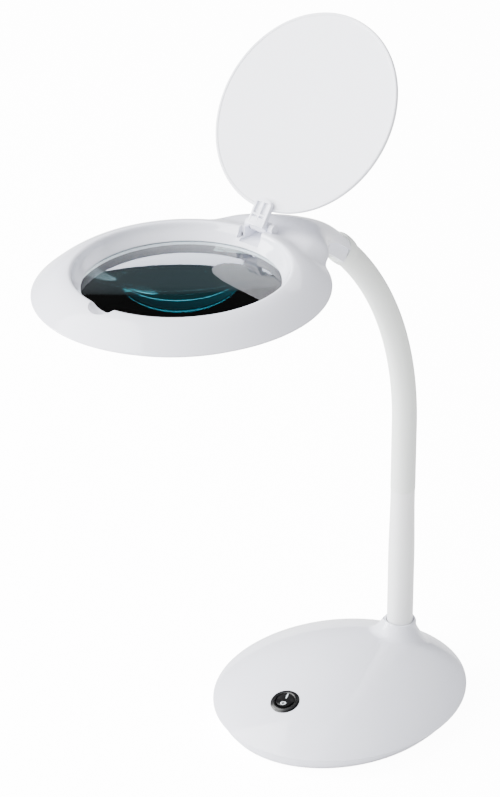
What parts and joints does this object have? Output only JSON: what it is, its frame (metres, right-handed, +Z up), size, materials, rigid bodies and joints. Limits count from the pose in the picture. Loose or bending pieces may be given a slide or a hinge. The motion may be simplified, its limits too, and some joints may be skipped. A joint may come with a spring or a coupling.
{
  "type": "magnifying lamp",
  "caption": "Desk magnifying lamp: round lens head with a light ring and hinged lid, tilting on a flexible gooseneck arm over a heavy oval base with a rocker switch.",
  "frame": {"origin": "on the table plane, in the middle of the underside of the oval base", "axes": "+Z up; the head reaches out towards -Y and the arm stands at +Y; X = 0 is the mirror plane of the base, arm and head"},
  "size_m": [0.1445, 0.2669, 0.3948],
  "materials": {
    "white_shell": "polished moulded ABS, faintly cool white",
    "white_tube": "smooth white tube",
    "grip_pad": "dark foam rubber sheet",
    "iron": "bare cast plate, dark",
    "steel": "zinc plated steel",
    "lead_jacket": "white insulated lead",
    "black_plastic": "black moulded plastic with a soft shine",
    "contact_brass": "tinned brass contacts",
    "circuit_board": "white solder mask board",
    "nylon": "natural nylon",
    "sleeve": "soft matt white sleeve",
    "lens_glass": "polished optical glass with a green tint",
    "led": "LED packages with phosphor faces",
    "diffuser": "frosted clear window",
    "lid_plastic": "polished white disc, faintly translucent"
  },
  "bodies": {
    "base": {"base_cover": "white_shell", "base_tray": "white_shell", "anti_slip_pad": "grip_pad", "ballast": "iron", "tray_screws": "steel", "clamp_plate": "steel", "arm_nut": "steel", "arm_tube": "white_tube", "arm_lead_00": "lead_jacket", "supply_lead": "lead_jacket", "switched_lead": "lead_jacket", "head_lead": "lead_jacket", "power_inlet": "black_plastic", "switch_body": "black_plastic", "inlet_pin": "contact_brass", "switch_terminals": "contact_brass", "driver_board": "circuit_board", "board_spacers": "nylon", "driver_parts": "black_plastic", "sleeve_01": "sleeve", "flex_core_01": "steel", "arm_lead_01": "lead_jacket"},
    "rocker": {"switch_rocker": "black_plastic"},
    "arm_link_2": {"sleeve_02": "sleeve", "flex_core_02": "steel", "arm_lead_02": "lead_jacket"},
    "arm_link_3": {"sleeve_03": "sleeve", "flex_core_03": "steel", "arm_lead_03": "lead_jacket"},
    "arm_link_4": {"sleeve_04": "sleeve", "flex_core_04": "steel", "arm_lead_04": "lead_jacket"},
    "arm_link_5": {"sleeve_05": "sleeve", "flex_core_05": "steel", "arm_lead_05": "lead_jacket"},
    "arm_link_6": {"sleeve_06": "sleeve", "flex_core_06": "steel", "arm_lead_06": "lead_jacket"},
    "arm_link_7": {"sleeve_07": "sleeve", "flex_core_07": "steel", "arm_lead_07": "lead_jacket"},
    "arm_link_8": {"sleeve_08": "sleeve", "flex_core_08": "steel", "arm_lead_08": "lead_jacket", "ferrule": "white_shell"},
    "head": {"tilt_screw": "steel", "tilt_nut": "steel", "lid_pin": "steel", "head_upper_shell": "white_shell", "head_lower_shell": "white_shell", "lens": "lens_glass", "led_board": "circuit_board", "leds": "led", "diffuser": "diffuser"},
    "lid": {"lid": "lid_plastic", "lid_arm": "white_shell"}
  },
  "joints": [
    {"name": "arm_bend_1", "type": "hinge", "parent": "base", "child": "arm_link_2", "pos_m": [0, 0.0486, 0.13428], "axis": [1, 0, 0], "range_deg": [-15, 12]},
    {"name": "arm_sway_2", "type": "hinge", "parent": "arm_link_2", "child": "arm_link_3", "pos_m": [0, 0.04856, 0.15557], "axis": [0, 0.9991, 0.0433], "range_deg": [-13, 13]},
    {"name": "arm_bend_3", "type": "hinge", "parent": "arm_link_3", "child": "arm_link_4", "pos_m": [0, 0.04676, 0.17676], "axis": [1, 0, 0], "range_deg": [-15, 12]},
    {"name": "arm_sway_4", "type": "hinge", "parent": "arm_link_4", "child": "arm_link_5", "pos_m": [0, 0.04229, 0.19755], "axis": [0, 0.9623, 0.2719], "range_deg": [-13, 13]},
    {"name": "arm_bend_5", "type": "hinge", "parent": "arm_link_5", "child": "arm_link_6", "pos_m": [0, 0.03522, 0.21761], "axis": [1, 0, 0], "range_deg": [-15, 12]},
    {"name": "arm_sway_6", "type": "hinge", "parent": "arm_link_6", "child": "arm_link_7", "pos_m": [0, 0.02566, 0.23661], "axis": [0, 0.863, 0.5051], "range_deg": [-13, 13]},
    {"name": "arm_bend_7", "type": "hinge", "parent": "arm_link_7", "child": "arm_link_8", "pos_m": [0, 0.01377, 0.25424], "axis": [1, 0, 0], "range_deg": [-15, 12]},
    {"name": "head_tilt", "type": "hinge", "parent": "arm_link_8", "child": "head", "pos_m": [0, -0.0265, 0.2865], "axis": [0.9992, 0, 0.0393], "range_deg": [-8, 35]},
    {"name": "lid_hinge", "type": "hinge", "parent": "head", "child": "lid", "pos_m": [-0.00285, -0.06024, 0.3063], "axis": [0.9986, 0.0349, 0.0392], "range_deg": [-4, 128.4]},
    {"name": "switch_rock", "type": "hinge", "parent": "base", "child": "rocker", "pos_m": [0, -0.04352, 0.02001], "axis": [0.9397, 0.3351, 0.0687], "range_deg": [0, 14]}
  ]
}
